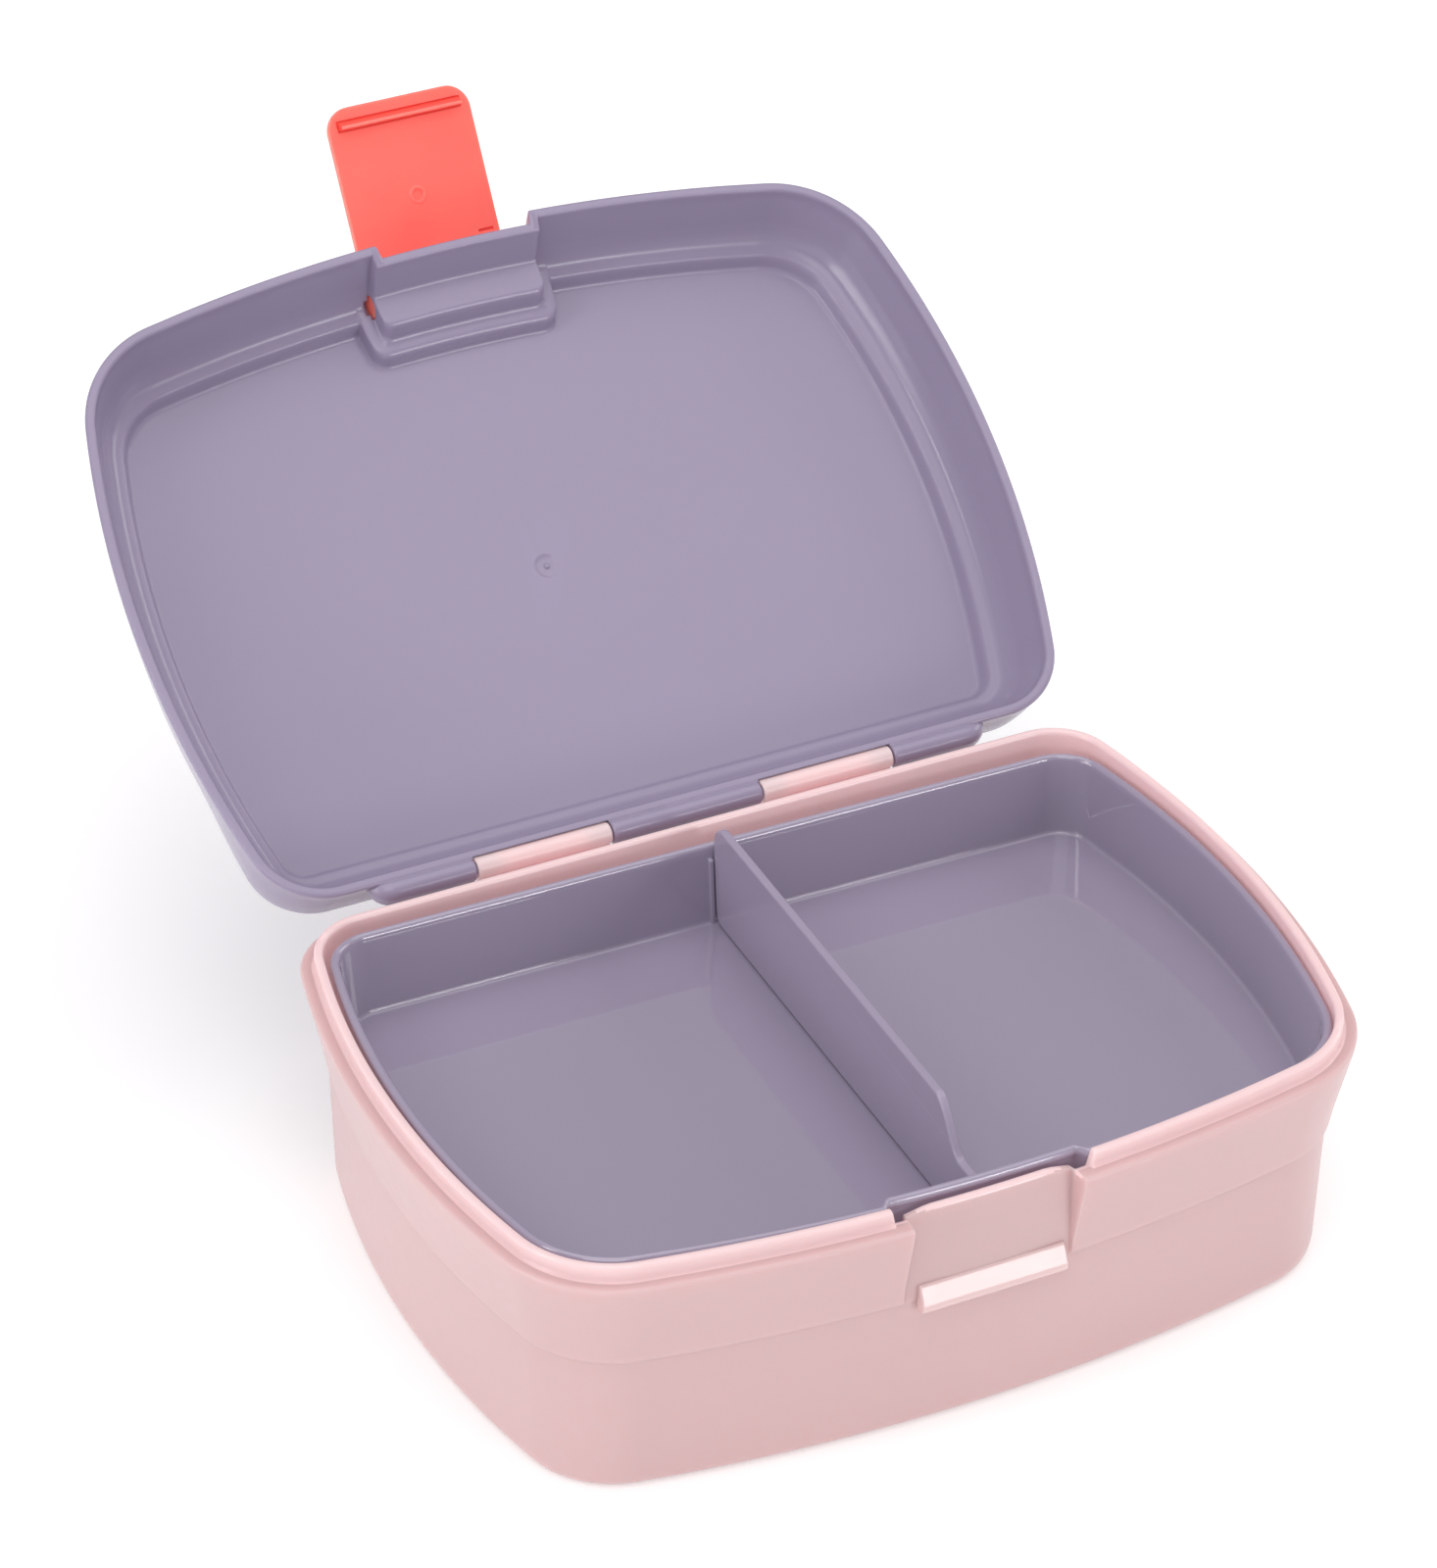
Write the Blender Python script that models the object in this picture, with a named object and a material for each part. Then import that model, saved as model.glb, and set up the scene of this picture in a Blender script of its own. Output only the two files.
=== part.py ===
"""Hinged lunch box: tub, lid, latch flap, lift-out tray and divider.

Frame: X runs along the hinge, -Y is the latch side, +Z is up. The origin is the
centre of the tub's flat underside. Lengths below are in millimetres and are
turned into metres when a mesh is made. The lid and the latch are modelled in
their closed places and then turned open about their own axes.
"""
import math

import bmesh
import bpy

MM = 0.001

# Plan outline at the parting line. The lid reaches LID_BACK_SHIFT further at the hinge side.
HALF_WIDTH = 85.0
HALF_DEPTH = 59.4
SIDE_RADIUS = 181.0
SIDE_CENTRE_Y = 5.9
FRONT_RADIUS = 333.0
BACK_RADIUS = 30000.0
FRONT_CORNER = 22.6
BACK_CORNER = 14.1
LID_BACK_SHIFT = 1.45

# Heights.
WAIST_Z = 28.4
SHOULDER_Z = 46.9
LIP_Z = 50.0
LID_RIM_Z = 47.2
LID_TOP_Z = 65.0
FLOOR_Z = 2.2
LEDGE_Z = 30.9

# Latch recess in the tub's front: distances from the middle, and how far its panel is set in.
RECESS_HALF_WIDTH = 15.5
RECESS_INSET = 4.0
LIP_START = 18.0
LIP_FULL = 19.0
PANEL_CROWN = 0.8
BAR_HALF_LENGTH = 13.5

# Hinge.
HINGE_Y = 62.0
HINGE_Z = 48.8
KNUCKLE_RADIUS = 2.0
SCOOP_RADIUS = 2.3
BORE_RADIUS = 1.35
STUB_RADIUS = 1.05
STUB_LENGTH = 3.9
KNUCKLE_INNER = 14.85
KNUCKLE_OUTER = 41.15
HINGE_END = 61.0
KNUCKLE_GAP = 0.3
LID_OPEN_DEG = 146.7

# Latch.
PIVOT_Y = -52.2
PIVOT_Z = 58.8
LATCH_OPEN_DEG = 66.4
LATCH_HALF_WIDTH = 14.3
FLAP_INNER_Y = -58.3
FLAP_OUTER_Y = -59.8
FLAP_TIP_Z = 21.5
RIDGE_Z = 25.2
RIDGE_HALF_LENGTH = 12.2
FLAP_CORNER = 4.6
FLAP_FOLD = 2.0
FLAP_EASE = 0.4
BARREL_RADIUS = 1.45
PIVOT_PIN_RADIUS = 1.05
PIVOT_PIN_END = 17.2
PIVOT_HOLE_RADIUS = 1.4
PIVOT_HOLE_SPAN = (14.0, 17.7)

# Latch pocket in the lid: distances from the middle of its inner and outer ends.
POCKET_INNER_END = 16.6
POCKET_OUTER_END = 15.1
POCKET_FADE = (15.5, 22.5)

# Tray and divider.
TRAY_HALF_WIDTH = 80.5
TRAY_HALF_DEPTH = 53.65
TRAY_SHIFT_Y = -1.25
TRAY_BASE_Z = 31.2
TRAY_FLOOR_Z = 33.0
TRAY_RIM_Z = 48.8
TRAY_CUT_BACK = 1.85
TRAY_CUT_FADE = (17.2, 19.3)
RIB_THICKNESS = 1.0
RIB_GAP = 0.35
DIVIDER_X = 0.7
DIVIDER_THICKNESS = 1.6
DIVIDER_TOP_Z = 53.8
DIVIDER_FRONT_Z = 45.0
DIVIDER_BACK_Y = 50.1
DIVIDER_CORNER = 3.4
DROP_START_Y = -34.5
DROP_LENGTH = 9.5

# Distances from the middle of the front at which an outline has a point.
TUB_COLUMNS = (0.0, 5.0, 10.0, 13.6, 15.3, 15.9, 17.6, 18.4, 19.2, 26.0, 33.0, 40.0, 47.5, 55.0)
LID_COLUMNS = (0.0, 5.0, 10.0, 13.0, 14.9, 15.4, 16.4, 16.9, 18.5, 20.5, 26.0, 33.0, 40.0, 47.5,
               55.0)
TRAY_COLUMNS = (0.0, 6.0, 12.0, 17.0, 19.4, 26.0, 33.0, 40.0, 47.5, 55.0)

PINK = (0.80, 0.55, 0.55)
LILAC = (0.36, 0.31, 0.41)
LILAC_TRAY = (0.30, 0.27, 0.35)
CORAL = (0.95, 0.14, 0.11)


def arc(centre, radius, start, end, steps):
    """Points along an arc, without its last point."""
    points = []
    for step in range(steps):
        angle = start + (end - start) * step / steps
        points.append((centre[0] + radius * math.cos(angle), centre[1] + radius * math.sin(angle)))
    return points


def circle_meet(centre_a, radius_a, centre_b, radius_b, side):
    """The point at two given distances from two centres, furthest towards side."""
    span_x = centre_b[0] - centre_a[0]
    span_y = centre_b[1] - centre_a[1]
    span = math.hypot(span_x, span_y)
    along = (radius_a ** 2 - radius_b ** 2 + span ** 2) / (2 * span)
    across = math.sqrt(radius_a ** 2 - along ** 2)
    unit = (span_x / span, span_y / span)
    foot = (centre_a[0] + unit[0] * along, centre_a[1] + unit[1] * along)
    choices = []
    for sign in (-1, 1):
        choices.append((foot[0] - sign * unit[1] * across, foot[1] + sign * unit[0] * across))
    return max(choices, key=lambda point: point[0] + side * point[1])


class Outline:
    """A bowed rectangle of tangent arcs, whose parallel offsets share its centres."""

    def __init__(self, half_width, half_depth, trim, columns, back_shift=0.0):
        self.half_depth = half_depth
        self.columns = columns
        self.front_radius = FRONT_RADIUS - trim
        self.side_radius = SIDE_RADIUS - trim
        self.back_radius = BACK_RADIUS - trim
        self.front_corner = FRONT_CORNER - trim
        self.back_corner = BACK_CORNER - trim
        self.front_centre = (0.0, self.front_radius - half_depth)
        self.back_centre = (0.0, half_depth + back_shift - self.back_radius)
        self.side_centre = (half_width - self.side_radius, SIDE_CENTRE_Y)
        self.front_fillet = circle_meet(
            self.side_centre, self.side_radius - self.front_corner,
            self.front_centre, self.front_radius - self.front_corner, -1)
        self.back_fillet = circle_meet(
            self.side_centre, self.side_radius - self.back_corner,
            self.back_centre, self.back_radius - self.back_corner, 1)

    def front_y(self, x, inset):
        """Y of the front edge's parallel offset at a given X."""
        radius = self.front_radius - inset
        return self.front_centre[1] - math.sqrt(radius ** 2 - x ** 2)

    def loop(self, inset):
        """The offset outline, anticlockwise from above, from the middle of the front."""
        def angle_from(centre, point):
            return math.atan2(point[1] - centre[1], point[0] - centre[0])

        front_end = angle_from(self.front_centre, self.front_fillet)
        side_start = angle_from(self.side_centre, self.front_fillet)
        side_end = angle_from(self.side_centre, self.back_fillet)
        back_start = angle_from(self.back_centre, self.back_fillet)
        right = [(x, self.front_y(x, inset)) for x in self.columns]
        right += arc(self.front_fillet, self.front_corner - inset, front_end, side_start, 6)
        right += arc(self.side_centre, self.side_radius - inset, side_start, 0.0, 4)
        right += arc(self.side_centre, self.side_radius - inset, 0.0, side_end, 4)
        right += arc(self.back_fillet, self.back_corner - inset, side_end, back_start, 5)
        right += arc(self.back_centre, self.back_radius - inset, back_start, math.pi / 2, 3)
        back_middle = (0.0, self.back_centre[1] + self.back_radius - inset)
        left = [(-x, y) for x, y in reversed(right[1:])]
        return right + [back_middle] + left


def blend(value, start, end):
    """A smooth step from 1 at start down to 0 at end."""
    share = min(max((value - start) / (end - start), 0.0), 1.0)
    return 1.0 - share * share * (3.0 - 2.0 * share)


def ring(outline, rule, shift_y=0.0):
    """One closed ring. rule(distance from the middle of the front) gives (inset, z)."""
    far = 1000.0
    base_inset, base_z = rule(far)
    points = [(x, y, base_z) for x, y in outline.loop(base_inset)]
    for index, column in enumerate(outline.columns):
        inset, z = rule(column)
        y = outline.front_y(column, inset)
        points[index] = (column, y, z)
        if index:
            points[-index] = (-column, y, z)
    return [(x, y + shift_y, z) for x, y, z in points]


def loft(rings):
    """A closed body through rings, capped flat at both ends."""
    mesh = bmesh.new()
    rows = [[mesh.verts.new([c * MM for c in point]) for point in points] for points in rings]
    count = len(rows[0])
    for lower, upper in zip(rows, rows[1:]):
        for index in range(count):
            after = (index + 1) % count
            mesh.faces.new((lower[index], lower[after], upper[after], upper[index]))
    mesh.faces.new(list(reversed(rows[0])))
    mesh.faces.new(rows[-1])
    return mesh


def prism(profile, x_low, x_high):
    """A (y, z) outline extruded along X."""
    mesh = bmesh.new()
    near = [mesh.verts.new((x_low * MM, y * MM, z * MM)) for y, z in profile]
    face = mesh.faces.new(near)
    grown = bmesh.ops.extrude_face_region(mesh, geom=[face])
    moved = [item for item in grown["geom"] if isinstance(item, bmesh.types.BMVert)]
    bmesh.ops.translate(mesh, verts=moved, vec=((x_high - x_low) * MM, 0.0, 0.0))
    bmesh.ops.recalc_face_normals(mesh, faces=mesh.faces[:])
    return mesh


def rod(y, z, radius, x_low, x_high, sides=20):
    """A round bar along X."""
    profile = []
    for index in range(sides):
        angle = 2 * math.pi * (index + 0.5) / sides
        profile.append((y + radius * math.cos(angle), z + radius * math.sin(angle)))
    return prism(profile, x_low, x_high)


def turned(y, z, stations, sides=20):
    """A body turned about a line along X. stations are (x, radius) pairs."""
    mesh = bmesh.new()
    rows = []
    for x, radius in stations:
        row = []
        for index in range(sides):
            angle = 2 * math.pi * (index + 0.5) / sides
            place = (x, y + radius * math.cos(angle), z + radius * math.sin(angle))
            row.append(mesh.verts.new([c * MM for c in place]))
        rows.append(row)
    for lower, upper in zip(rows, rows[1:]):
        for index in range(sides):
            after = (index + 1) % sides
            mesh.faces.new((lower[index], lower[after], upper[after], upper[index]))
    mesh.faces.new(rows[0])
    mesh.faces.new(rows[-1])
    bmesh.ops.recalc_face_normals(mesh, faces=mesh.faces[:])
    return mesh


def add_object(name, mesh, colour=None, roughness=0.35):
    """Turn a bmesh into an object, with its own Principled material."""
    data = bpy.data.meshes.new(name)
    mesh.to_mesh(data)
    mesh.free()
    obj = bpy.data.objects.new(name, data)
    bpy.context.collection.objects.link(obj)
    if colour is not None:
        material = bpy.data.materials.new(name + "_material")
        material.use_nodes = True
        shader = material.node_tree.nodes["Principled BSDF"]
        shader.inputs["Base Color"].default_value = (*colour, 1.0)
        shader.inputs["Roughness"].default_value = roughness
        shader.inputs["Metallic"].default_value = 0.0
        data.materials.append(material)
    return obj


def combine(obj, meshes, operation):
    """Boolean a list of meshes into an object and keep only the result."""
    for index, mesh in enumerate(meshes):
        tool = add_object("tool_%d" % index, mesh)
        change = obj.modifiers.new("change", "BOOLEAN")
        change.object = tool
        change.operation = operation
        change.solver = "EXACT"
        depsgraph = bpy.context.evaluated_depsgraph_get()
        result = bpy.data.meshes.new_from_object(obj.evaluated_get(depsgraph))
        obj.modifiers.clear()
        obj.data = result
        bpy.data.objects.remove(tool)


def smooth(obj, degrees=35.0):
    """Shade smooth, with edges sharper than the angle kept crisp."""
    obj.data.shade_smooth()
    obj.data.set_sharp_from_angle(angle=math.radians(degrees))


def set_origin(obj, y, z):
    """Move an object's origin to a point on its joint's axis."""
    for vertex in obj.data.vertices:
        vertex.co.y -= y * MM
        vertex.co.z -= z * MM
    obj.location = (0.0, y * MM, z * MM)


def knuckle(x_low, x_high):
    """A plain hinge knuckle with slightly eased ends."""
    ease = 0.4
    full = KNUCKLE_RADIUS
    stations = (
        (x_low, full - ease),
        (x_low + ease, full),
        (x_high - ease, full),
        (x_high, full - ease),
    )
    return turned(HINGE_Y, HINGE_Z, stations)


def knuckle_with(x_low, x_high, web, stubs):
    """A knuckle joined to the web that carries it and to any stubs, as one mesh."""
    barrel = add_object("barrel", knuckle(x_low, x_high))
    combine(barrel, [prism(web, x_low + 0.4, x_high - 0.4)] + stubs, "UNION")
    merged = bmesh.new()
    merged.from_mesh(barrel.data)
    bpy.data.objects.remove(barrel)
    return merged


def build_tub():
    """Outer wall with a flared top, raised lip, latch recess, tray ledge and floor."""
    outline = Outline(HALF_WIDTH, HALF_DEPTH, 0.0, TUB_COLUMNS)

    def panel_top(distance):
        """Height of the recess panel, highest in the middle."""
        return SHOULDER_Z + 0.4 - PANEL_CROWN * (1.0 - blend(distance, 9.0, 15.9))

    def row(lip, shoulder=None, panel=None):
        """A ring rule from (inset, z) at the lip, beside the recess, and in it.

        In the recess, z is measured from the panel's top.
        """
        beside = shoulder or lip

        def rule(distance):
            if panel and distance < RECESS_HALF_WIDTH:
                return panel[0], panel_top(distance) + panel[1]
            if distance < LIP_START:
                return beside
            if distance < LIP_FULL:
                return tuple((a + b) / 2 for a, b in zip(lip, beside))
            return lip
        return rule

    def flare(inset, z):
        """A ring rule for the flared band, which the recess panel cuts back."""
        def rule(distance):
            return (RECESS_INSET if distance < RECESS_HALF_WIDTH else inset), z
        return rule

    def inner_wall(distance):
        """A ring rule for a place between lip and ledge, at one inset all round."""
        return 5.7, 33.0

    rules = [
        row((7.4, 0.0)), row((6.1, 0.4)), row((5.3, 1.4)), row((5.0, 3.0)),
        row((4.1, WAIST_Z - 0.2)), flare(3.7, WAIST_Z + 0.5), flare(3.1, 32.2), flare(1.6, 39.0),
        flare(0.3, 44.6),
        row((0.0, 46.0), (0.0, 46.0), (4.0, -1.2)),
        row((0.2, 46.6), (0.2, 46.6), (4.1, -0.6)),
        row((0.8, SHOULDER_Z), (0.8, SHOULDER_Z), (4.3, -0.25)),
        row((2.5, SHOULDER_Z), (2.4, SHOULDER_Z), (4.5, -0.08)),
        row((2.5, 49.2), (2.9, SHOULDER_Z), (4.7, 0.0)),
        row((2.8, 49.8), (3.3, SHOULDER_Z), (4.9, 0.0)),
        row((3.3, LIP_Z), (3.6, SHOULDER_Z), (5.1, 0.0)),
        row((3.8, 49.8), (3.9, 46.8), (5.4, -0.08)),
        row((4.1, 49.2), (4.3, 46.5), (5.7, -0.35)),
        row((4.1, 45.8), (4.4, 45.8), (5.9, -1.3)),
        inner_wall,
        row((5.8, LEDGE_Z)), row((8.0, LEDGE_Z)), row((8.4, 4.6)), row((9.0, 3.0)),
        row((10.8, FLOOR_Z)),
    ]
    tub = add_object("tub", loft([ring(outline, rule) for rule in rules]), PINK, 0.38)

    bar = [(-54.3, 31.8), (-55.5, 31.7), (-55.8, 31.4), (-57.3, 28.2), (-57.4, 27.5),
           (-57.0, 26.8), (-56.6, 26.5), (-54.3, 26.5)]
    parts = [prism(bar, -BAR_HALF_LENGTH, BAR_HALF_LENGTH)]
    web = [(57.5, 40.5), (58.8, 40.9), (60.6, 42.6), (63.6, 47.2), (63.0, 48.8), (61.6, 48.6),
           (60.7, SHOULDER_Z - 0.05), (57.5, SHOULDER_Z - 0.4)]
    low = KNUCKLE_INNER + KNUCKLE_GAP / 2
    high = KNUCKLE_OUTER - KNUCKLE_GAP / 2
    bores = []
    depth = STUB_LENGTH + 0.7
    for side in (-1, 1):
        ends = sorted((side * low, side * high))
        parts.append(knuckle_with(*ends, web, []))
        bores.append(rod(HINGE_Y, HINGE_Z, BORE_RADIUS, ends[0] - 1.0, ends[0] + depth))
        bores.append(rod(HINGE_Y, HINGE_Z, BORE_RADIUS, ends[1] - depth, ends[1] + 1.0))
    combine(tub, parts, "UNION")
    combine(tub, bores, "DIFFERENCE")
    smooth(tub)
    return tub


def build_lid():
    """Shell with a stepped top, a latch pocket at the front and three hinge knuckles."""
    outline = Outline(HALF_WIDTH, HALF_DEPTH, 0.0, LID_COLUMNS, LID_BACK_SHIFT)
    inner_edge = POCKET_INNER_END
    outer_edge = POCKET_OUTER_END

    def row(plain, pocket, edge=None):
        """A ring rule. pocket is (y, z) in the pocket, sharp at edge or blended away."""
        def rule(distance):
            if edge is None:
                share = blend(distance, *POCKET_FADE)
            else:
                share = 1.0 if distance < edge else 0.0
            inset = pocket[0] + HALF_DEPTH
            return tuple(a + (b - a) * share for a, b in zip(plain, (inset, pocket[1])))
        return rule

    rim = LID_RIM_Z
    top = LID_TOP_Z
    rules = [
        row((10.8, 62.8), (-41.0, 62.8)), row((10.0, 62.3), (-41.7, 62.3)),
        row((9.3, 60.4), (-42.2, 60.4)), row((8.8, 59.6), (-42.9, 59.6)),
        row((7.6, 59.4), (-44.7, 59.4)),
        row((6.6, 58.9), (-45.4, 58.9), inner_edge), row((5.6, 57.6), (-46.2, 56.4), inner_edge),
        row((5.1, 56.8), (-46.9, 55.6), inner_edge), row((4.9, 56.4), (-52.4, 55.6), inner_edge),
        row((4.3, 55.2), (-53.0, 55.0), inner_edge), row((2.2, 49.2), (-54.9, 49.5), inner_edge),
        row((1.9, rim + 0.4), (-55.1, rim + 1.2), inner_edge),
        row((1.6, rim), (-55.4, rim + 0.8), inner_edge),
        row((0.4, rim), (-56.7, rim + 0.8), outer_edge),
        row((0.0, rim + 0.4), (-57.0, rim + 1.2), outer_edge),
        row((0.4, 49.5), (-56.9, 50.0), outer_edge), row((1.9, 54.5), (-55.6, 55.4), outer_edge),
        row((3.0, 58.0), (-55.2, 56.6), outer_edge), row((3.5, 59.6), (-54.8, 57.0), outer_edge),
        row((4.3, 61.0), (-48.6, 57.0), outer_edge), row((5.6, 61.5), (-48.2, 57.5), outer_edge),
        row((7.0, 61.6), (-48.0, 61.2), outer_edge), row((7.4, 61.7), (-47.7, 61.6), outer_edge),
        row((7.8, 62.2), (-43.4, 61.8)), row((8.2, 64.0), (-42.9, 64.2)),
        row((9.0, top - 0.2), (-42.2, top - 0.2)), row((10.5, top), (-41.0, top)),
    ]
    lid = add_object("lid", loft([ring(outline, rule) for rule in rules]), LILAC, 0.36)

    web = [(59.0, 47.8), (60.6, 47.3), (62.0, 47.2), (63.2, 48.0), (63.4, 49.4), (62.6, 50.4),
           (60.0, 51.6), (58.9, 51.2)]
    half_gap = KNUCKLE_GAP / 2
    scoop_gap = KNUCKLE_GAP / 5
    scoops = []
    for side in (-1, 1):
        ends = sorted((side * (KNUCKLE_INNER - scoop_gap), side * (KNUCKLE_OUTER + scoop_gap)))
        scoops.append(rod(HINGE_Y, HINGE_Z, SCOOP_RADIUS, *ends))
    combine(lid, scoops, "DIFFERENCE")
    parts = []
    spans = (
        (-HINGE_END, -KNUCKLE_OUTER - half_gap),
        (-KNUCKLE_INNER + half_gap, KNUCKLE_INNER - half_gap),
        (KNUCKLE_OUTER + half_gap, HINGE_END),
    )
    for low, high in spans:
        stubs = []
        reach = STUB_LENGTH
        if low > -HINGE_END:
            stubs.append(rod(HINGE_Y, HINGE_Z, STUB_RADIUS, low - reach, low + 2.0))
        if high < HINGE_END:
            stubs.append(rod(HINGE_Y, HINGE_Z, STUB_RADIUS, high - 2.0, high + reach))
        parts.append(knuckle_with(low, high, web, stubs))
    combine(lid, parts, "UNION")
    holes = []
    for side in (-1, 1):
        ends = sorted(side * reach for reach in PIVOT_HOLE_SPAN)
        holes.append(rod(PIVOT_Y, PIVOT_Z, PIVOT_HOLE_RADIUS, *ends))
    combine(lid, holes, "DIFFERENCE")
    smooth(lid)
    set_origin(lid, HINGE_Y, HINGE_Z)
    return lid


def corner_trim(side):
    """The waste outside one rounded corner at the flap's free end."""
    beyond = 1.0
    edge_x = side * (LATCH_HALF_WIDTH + beyond)
    hub_x = side * (LATCH_HALF_WIDTH - FLAP_CORNER)
    hub_z = FLAP_TIP_Z + FLAP_CORNER
    points = [(edge_x, hub_z), (edge_x, FLAP_TIP_Z - beyond), (hub_x, FLAP_TIP_Z - beyond)]
    steps = 7
    for step in range(steps + 1):
        angle = math.pi / 2 * step / steps
        x = hub_x + side * FLAP_CORNER * math.sin(angle)
        points.append((x, hub_z - FLAP_CORNER * math.cos(angle)))
    mesh = bmesh.new()
    near_y = FLAP_OUTER_Y - beyond
    near = [mesh.verts.new((x * MM, near_y * MM, z * MM)) for x, z in points]
    grown = bmesh.ops.extrude_face_region(mesh, geom=[mesh.faces.new(near)])
    moved = [item for item in grown["geom"] if isinstance(item, bmesh.types.BMVert)]
    bmesh.ops.translate(mesh, verts=moved, vec=(0.0, 4.0 * MM, 0.0))
    bmesh.ops.recalc_face_normals(mesh, faces=mesh.faces[:])
    return mesh


def build_latch():
    """A flap hung from a barrel, with a hook ridge near its free end and two pivot stubs."""
    plate_low = PIVOT_Z + 0.2
    plate_high = PIVOT_Z + BARREL_RADIUS
    inner = FLAP_INNER_Y
    outer = FLAP_OUTER_Y
    tip = FLAP_TIP_Z
    profile = [(PIVOT_Y, plate_high), (PIVOT_Y, plate_low)]
    profile += [(inner + 0.6, plate_low), (inner, plate_low - 0.6)]
    profile += [(inner, tip + FLAP_EASE), (inner - FLAP_EASE, tip)]
    profile += [(outer + FLAP_EASE, tip), (outer, tip + FLAP_EASE)]
    fold = (outer + FLAP_FOLD, plate_high - FLAP_FOLD)
    profile += arc(fold, FLAP_FOLD, math.pi, math.pi / 2, 5)
    profile += [(fold[0], plate_high)]
    flap = prism(profile, -LATCH_HALF_WIDTH, LATCH_HALF_WIDTH)
    latch = add_object("latch", flap, CORAL, 0.3)
    combine(latch, [corner_trim(-1), corner_trim(1)], "DIFFERENCE")

    ridge = [
        (inner - 0.3, RIDGE_Z - 1.3), (inner + 1.1, RIDGE_Z - 0.9), (inner + 1.8, RIDGE_Z - 0.1),
        (inner + 1.9, RIDGE_Z + 0.6), (inner + 1.5, RIDGE_Z + 0.8), (inner - 0.3, RIDGE_Z + 0.7),
    ]
    pin = ((-PIVOT_PIN_END, PIVOT_PIN_RADIUS), (PIVOT_PIN_END, PIVOT_PIN_RADIUS))
    barrel = ((-LATCH_HALF_WIDTH, BARREL_RADIUS), (LATCH_HALF_WIDTH, BARREL_RADIUS))
    parts = [
        turned(PIVOT_Y, PIVOT_Z, pin),
        turned(PIVOT_Y, PIVOT_Z, barrel),
        prism(ridge, -RIDGE_HALF_LENGTH, RIDGE_HALF_LENGTH),
    ]
    combine(latch, parts, "UNION")
    smooth(latch)
    set_origin(latch, PIVOT_Y, PIVOT_Z)
    return latch


def build_tray():
    """Shallow insert, cut back behind the latch recess, with two pairs of guide ribs."""
    trim = HALF_WIDTH - TRAY_HALF_WIDTH
    outline = Outline(TRAY_HALF_WIDTH, TRAY_HALF_DEPTH, trim, TRAY_COLUMNS)

    def row(inset, z, share):
        """A ring rule. share is how much of the cut behind the latch recess it takes."""
        def rule(distance):
            return inset + TRAY_CUT_BACK * share * blend(distance, *TRAY_CUT_FADE), z
        return rule

    rules = [
        row(5.0, TRAY_BASE_Z, 0.0), row(3.2, 31.4, 0.0), row(2.1, 32.4, 0.0), row(1.6, 34.1, 0.1),
        row(0.3, 46.8, 1.0), row(0.0, 47.6, 1.0), row(0.15, 48.4, 1.0), row(0.6, TRAY_RIM_Z, 1.0),
        row(1.2, TRAY_RIM_Z, 1.0), row(1.65, 48.4, 1.0), row(1.85, 47.6, 1.0), row(3.1, 35.6, 0.3),
        row(3.5, 34.1, 0.1), row(4.3, 33.3, 0.0), row(5.8, TRAY_FLOOR_Z, 0.0),
    ]
    rings = [ring(outline, rule, TRAY_SHIFT_Y) for rule in rules]
    tray = add_object("tray", loft(rings), LILAC_TRAY, 0.25)

    slot = DIVIDER_THICKNESS / 2 + RIB_GAP
    back = [(51.4, 32.3), (51.6, 46.0), (49.2, 46.0), (48.0, 32.3)]
    front = [(-52.4, 32.3), (-52.4, 42.0), (-50.2, 42.0), (-49.4, 32.3)]
    ribs = []
    for side in (-1, 1):
        ends = sorted((DIVIDER_X + side * slot, DIVIDER_X + side * (slot + RIB_THICKNESS)))
        ribs.append(prism(back, *ends))
        ribs.append(prism(front, *ends))
    combine(tray, ribs, "UNION")
    smooth(tray)
    return tray


def build_divider():
    """Upright plate across the tray: high behind, dropping in an S curve near the front."""
    foot = TRAY_FLOOR_Z + 0.3
    top = DIVIDER_TOP_Z
    back = DIVIDER_BACK_Y
    low = DIVIDER_FRONT_Z
    profile = [(-47.0, foot), (45.4, foot), (47.0, 33.9), (48.1, 35.4), (49.9, 46.5), (back, 50.0)]
    corner = (back - DIVIDER_CORNER, top - DIVIDER_CORNER)
    profile += arc(corner, DIVIDER_CORNER, 0.2, math.pi / 2, 4)
    profile += [(corner[0], top)]
    steps = 9
    for step in range(steps + 1):
        share = step / steps
        fall = (share ** 2.2) * (3.0 - 2.0 * share ** 1.1)
        profile.append((DROP_START_Y - DROP_LENGTH * share, top - (top - low) * fall))
    profile += [(-50.2, low), (-50.7, low - 0.5), (-50.4, 36.8), (-49.4, 34.7)]
    x_low = DIVIDER_X - DIVIDER_THICKNESS / 2
    plate = prism(profile, x_low, x_low + DIVIDER_THICKNESS)
    divider = add_object("divider", plate, LILAC_TRAY, 0.3)
    smooth(divider)
    return divider


def main():
    for obj in list(bpy.data.objects):
        bpy.data.objects.remove(obj, do_unlink=True)
    build_tub()
    lid = build_lid()
    latch = build_latch()
    tray = build_tray()
    divider = build_divider()
    divider.parent = tray
    latch.parent = lid
    latch.location = (0.0, (PIVOT_Y - HINGE_Y) * MM, (PIVOT_Z - HINGE_Z) * MM)
    latch.rotation_euler = (-math.radians(LATCH_OPEN_DEG), 0.0, 0.0)
    lid.rotation_euler = (-math.radians(LID_OPEN_DEG), 0.0, 0.0)


main()
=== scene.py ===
"""Looks for a hinged lunch box: tub, lid, latch flap, lift-out tray and divider.

Each CAD node is stood for by a finely divided body of the same form, with eased
edges and moulding marks. Lengths are in millimetres until a mesh is made. The
lid and the latch are modelled shut and then turned open about their own axes.
"""

import math

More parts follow.
